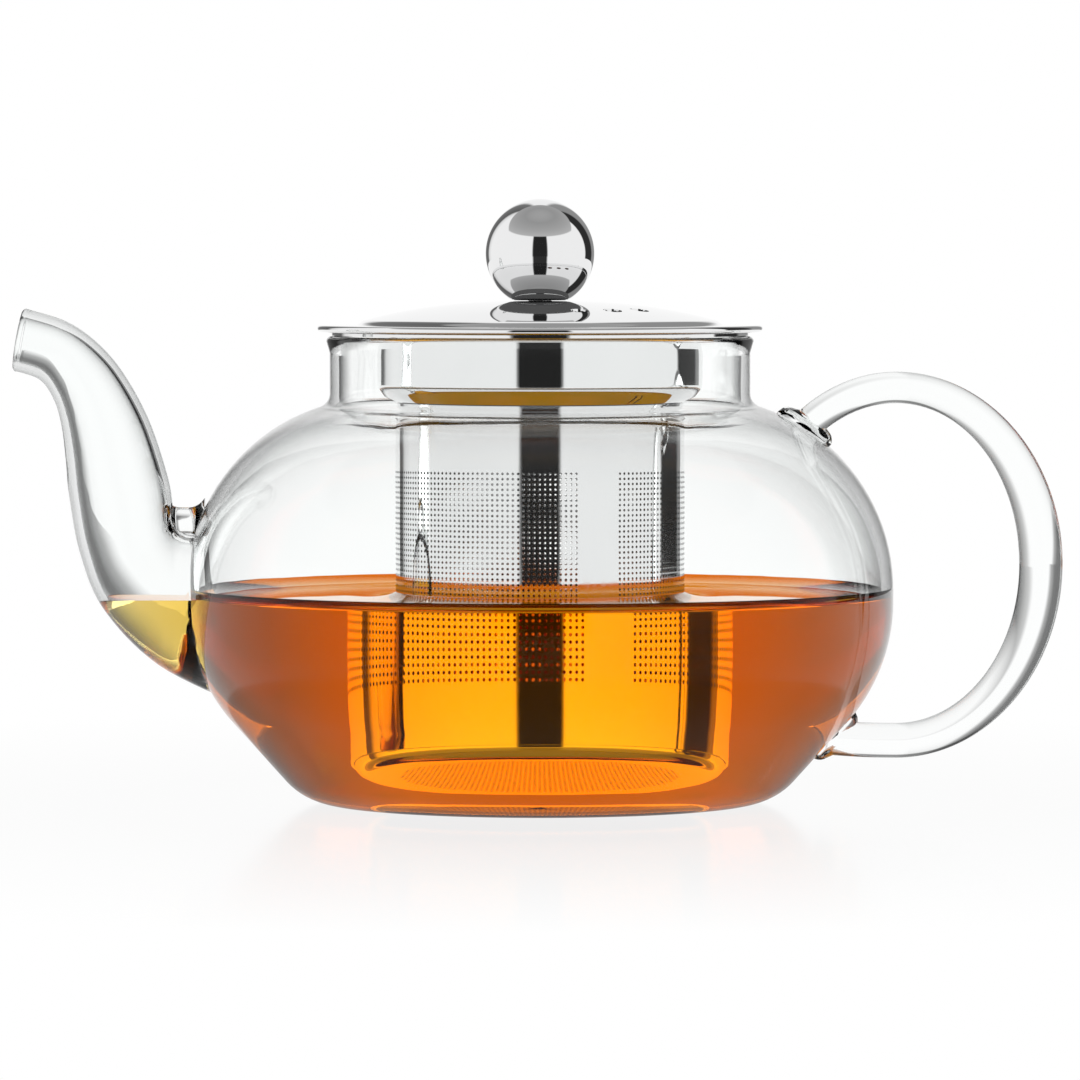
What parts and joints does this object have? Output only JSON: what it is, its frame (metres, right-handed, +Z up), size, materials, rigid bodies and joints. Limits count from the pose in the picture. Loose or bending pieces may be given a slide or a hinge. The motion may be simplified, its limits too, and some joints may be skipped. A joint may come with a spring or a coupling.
{
  "type": "glass teapot",
  "caption": "Round-bellied clear glass teapot with a gooseneck spout, a glass loop handle, a lift-out perforated steel infuser and a domed steel lid with a ball knob.",
  "frame": {"origin": "on the pot's axis, at its flat underside", "axes": "+Z up along the pot's axis, +X towards the handle, the spout along -X"},
  "size_m": [0.1825, 0.1234, 0.1054],
  "materials": {
    "clear_glass": "clear borosilicate, fire polished",
    "mirror_steel": "mirror-polished stainless steel",
    "infuser_steel": "bright rolled stainless sheet",
    "inner_steel": "satin stainless steel"
  },
  "bodies": {
    "pot": {"glass_body": "clear_glass", "spout": "clear_glass", "spout_bridge": "clear_glass", "handle": "clear_glass", "handle_upper_joint": "clear_glass", "handle_lower_joint": "clear_glass"},
    "infuser": {"infuser_collar": "mirror_steel", "infuser_sleeve": "infuser_steel", "infuser_base": "infuser_steel"},
    "lid": {"lid_cover": "mirror_steel", "lid_locating_ring": "inner_steel", "knob_ball": "mirror_steel", "knob_washer": "inner_steel", "knob_screw": "inner_steel"}
  },
  "joints": [
    {"name": "infuser_lift", "type": "slide", "parent": "pot", "child": "infuser", "axis": [0, 0, 1], "range_m": [0, 0.09]},
    {"name": "lid_lift", "type": "slide", "parent": "infuser", "child": "lid", "axis": [0, 0, 1], "range_m": [0, 0.04]}
  ]
}
